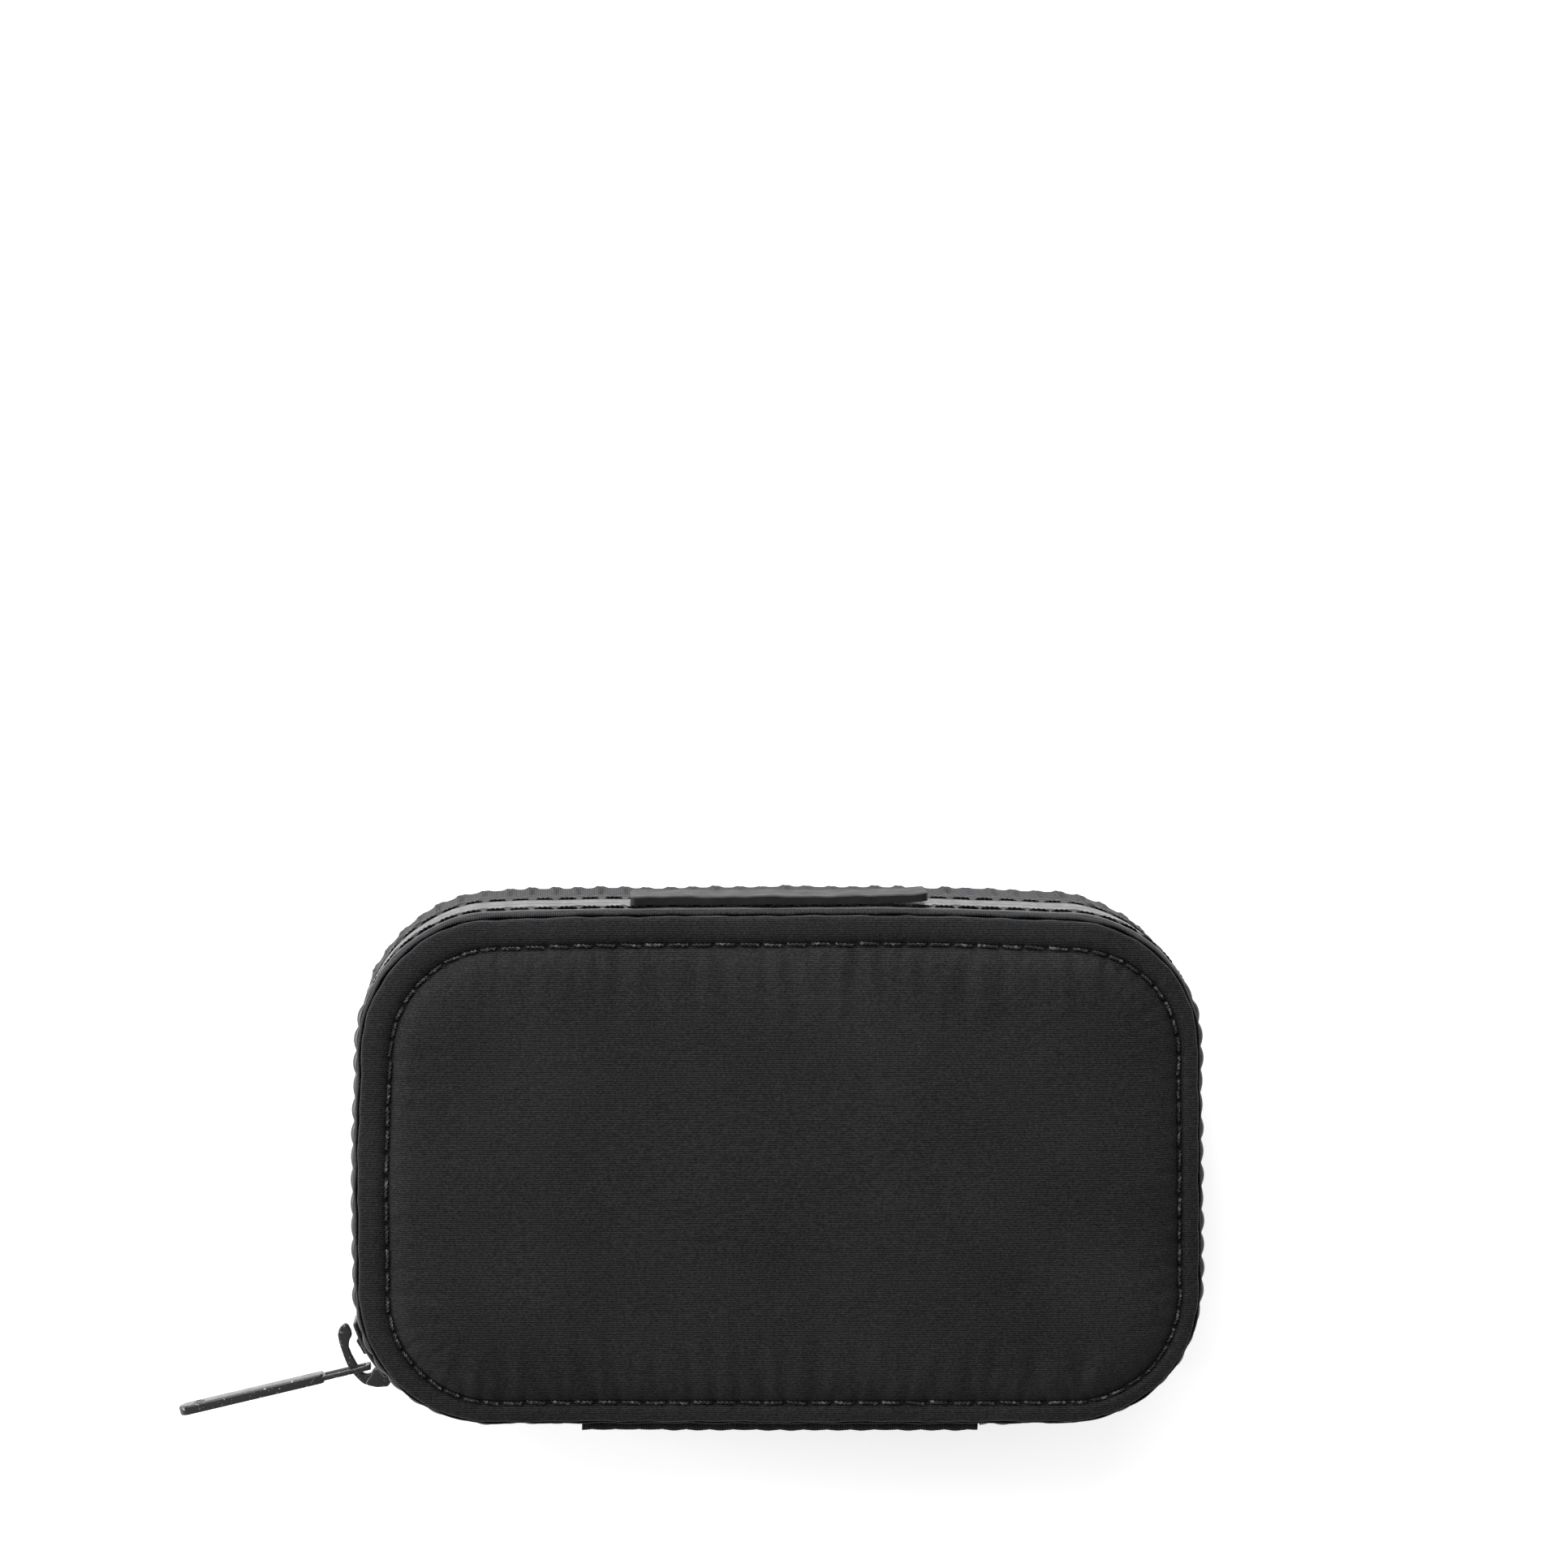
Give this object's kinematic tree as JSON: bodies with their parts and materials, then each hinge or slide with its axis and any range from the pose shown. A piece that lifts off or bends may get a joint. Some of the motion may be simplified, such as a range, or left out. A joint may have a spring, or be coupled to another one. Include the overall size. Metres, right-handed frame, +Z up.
{
  "type": "zip-round jewellery case",
  "caption": "Rounded rectangular soft case in two padded fabric half shells, with a cloth hinge, a zip round three sides, ring rolls and dividers inside.",
  "frame": {"origin": "centre of the flat rest face on the outside of the back panel", "axes": "+X along the long side, towards the end where the slider is; +Y towards the cloth hinge; +Z up, from the back panel to the lid"},
  "size_m": [0.164, 0.0859, 0.042],
  "materials": {
    "ribbed_fabric": "matte",
    "coated_tape": "satin",
    "zip_coil": "satin",
    "black_metal": "satin",
    "label_rubber": "matte",
    "velvet_lining": "matte",
    "foam": "matte",
    "board": "matte",
    "snap_metal": "satin"
  },
  "bodies": {
    "base": {"base_cover": "ribbed_fabric", "base_foam": "foam", "base_board": "board", "base_wall_board": "board", "base_gusset": "ribbed_fabric", "base_lining": "velvet_lining", "base_tape": "coated_tape", "base_coil": "zip_coil", "hinge_strip_base": "ribbed_fabric", "label_patch": "label_rubber", "ring_roll_1": "velvet_lining", "ring_roll_2": "velvet_lining", "ring_roll_3": "velvet_lining", "ring_roll_4": "velvet_lining", "divider_ring": "velvet_lining", "divider_long": "velvet_lining", "divider_short": "velvet_lining", "zip_stop_base_left": "black_metal", "zip_stop_base_right": "black_metal"},
    "lid": {"lid_cover": "ribbed_fabric", "lid_foam": "foam", "lid_board": "board", "lid_wall_board": "board", "lid_gusset": "ribbed_fabric", "lid_lining": "velvet_lining", "lid_tape": "coated_tape", "lid_coil": "zip_coil", "hinge_strip_lid": "ribbed_fabric", "lid_pocket": "velvet_lining", "pocket_elastic": "velvet_lining", "necklace_bar": "velvet_lining", "tab_stud_1": "snap_metal", "tab_stud_2": "snap_metal", "tab_stud_3": "snap_metal", "zip_stop_lid_left": "black_metal", "zip_stop_lid_right": "black_metal"},
    "slider": {"slider_body": "black_metal", "slider_bridge": "black_metal", "slider_pawl": "black_metal"},
    "pull": {"pull_tab": "black_metal"},
    "tab_1": {"tab_strap_1": "velvet_lining", "tab_cap_1": "snap_metal"},
    "tab_2": {"tab_strap_2": "velvet_lining", "tab_cap_2": "snap_metal"},
    "tab_3": {"tab_strap_3": "velvet_lining", "tab_cap_3": "snap_metal"}
  },
  "joints": [
    {"name": "lid_hinge", "type": "hinge", "parent": "base", "child": "lid", "pos_m": [0, 0.0433, 0.0265], "axis": [-1, 0, 0], "range_deg": [0, 180]},
    {"name": "slider_travel", "type": "hinge", "parent": "base", "child": "slider", "pos_m": [0.0455, 0.0188, 0.0265], "axis": [0, 0, 1], "range_deg": [-28, 10]},
    {"name": "pull_swing", "type": "hinge", "parent": "slider", "child": "pull", "pos_m": [0.06563, 0.03343, 0.0265], "axis": [0, 0, 1], "range_deg": [-48, 52]},
    {"name": "tab_1_fold", "type": "hinge", "parent": "lid", "child": "tab_1", "pos_m": [-0.03, -0.033, 0.0322], "axis": [-1, 0, 0], "range_deg": [0, 90]},
    {"name": "tab_2_fold", "type": "hinge", "parent": "lid", "child": "tab_2", "pos_m": [0, -0.033, 0.0322], "axis": [-1, 0, 0], "range_deg": [0, 90]},
    {"name": "tab_3_fold", "type": "hinge", "parent": "lid", "child": "tab_3", "pos_m": [0.03, -0.033, 0.0322], "axis": [-1, 0, 0], "range_deg": [0, 90]}
  ]
}
